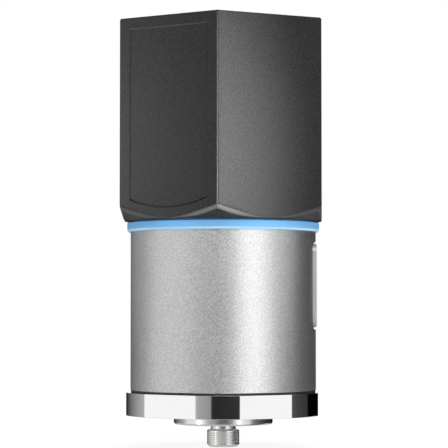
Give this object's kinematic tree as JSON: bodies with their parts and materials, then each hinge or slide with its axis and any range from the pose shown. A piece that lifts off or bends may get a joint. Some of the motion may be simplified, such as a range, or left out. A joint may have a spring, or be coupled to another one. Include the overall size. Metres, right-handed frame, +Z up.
{
  "type": "vibration sensor",
  "caption": "Stud-mounted wireless vibration sensor: hexagonal plastic antenna cover that unscrews, blue seal ring, metal sleeve and hexagonal base over a threaded stud.",
  "frame": {"origin": "centre of the seat face, on the stud's axis", "axes": "+Z up the axis from the seat to the cover, a corner of each hexagon towards -Y, nameplate towards +X"},
  "size_m": [0.049, 0.0564, 0.1046],
  "materials": {
    "cover_plastic": "fine moulded grain",
    "seal_blue": "smooth moulded elastomer",
    "black_rubber": "smooth",
    "blasted_aluminium": "bead blasted",
    "polished_steel": "turned and polished",
    "stud_steel": "bright turned",
    "plate_metal": "satin",
    "carrier_plastic": "moulded",
    "board_laminate": "solder mask",
    "module_laminate": "solder mask",
    "shield_tin": "tinned",
    "chip_epoxy": "moulded epoxy",
    "chip_ceramic": "fired ceramic",
    "capacitor_wrap": "shrunk film",
    "contact_brass": "gold plated",
    "connector_plastic": "moulded",
    "cable_film": "film",
    "cell_wrap": "shrunk film over a metal can"
  },
  "bodies": {
    "housing": {"mounting_stud": "stud_steel", "base_flange": "polished_steel", "base_oring": "black_rubber", "base_gasket": "black_rubber", "body_sleeve": "blasted_aluminium", "nameplate": "plate_metal", "nameplate_tape": "black_rubber", "carrier": "carrier_plastic", "carrier_screws": "stud_steel", "main_board": "board_laminate", "board_screws": "stud_steel", "radio_module": "module_laminate", "radio_shield": "shield_tin", "microcontroller": "chip_epoxy", "board_parts": "chip_ceramic", "storage_capacitor": "capacitor_wrap", "antenna_strip": "contact_brass", "board_connector": "connector_plastic", "sensor_cable": "cable_film", "sensor_connector": "connector_plastic", "sensor_board": "board_laminate", "accelerometer": "shield_tin", "sensor_screws": "stud_steel", "battery_cell": "cell_wrap", "battery_spring": "stud_steel", "battery_contact": "contact_brass", "battery_strip": "contact_brass"},
    "seal": {"seal_ring": "seal_blue"},
    "cover_seal": {"cover_oring": "black_rubber"},
    "cover": {"antenna_cover": "cover_plastic"}
  },
  "joints": [
    {"name": "cover_pull", "type": "slide", "parent": "housing", "child": "seal", "axis": [0, 0, 1], "range_m": [0, 0.06]},
    {"name": "cover_lift", "type": "slide", "parent": "seal", "child": "cover_seal", "axis": [0, 0, 1], "range_m": [0, 0.006]},
    {"name": "cover_turn", "type": "hinge", "parent": "cover_seal", "child": "cover", "pos_m": [0, 0, 0.05], "axis": [0, 0, 1], "range_deg": [0, 1080]}
  ],
  "couplings": [
    {"joint": "cover_lift", "follows": "cover_turn", "m_per_rad": 0.00031831}
  ]
}
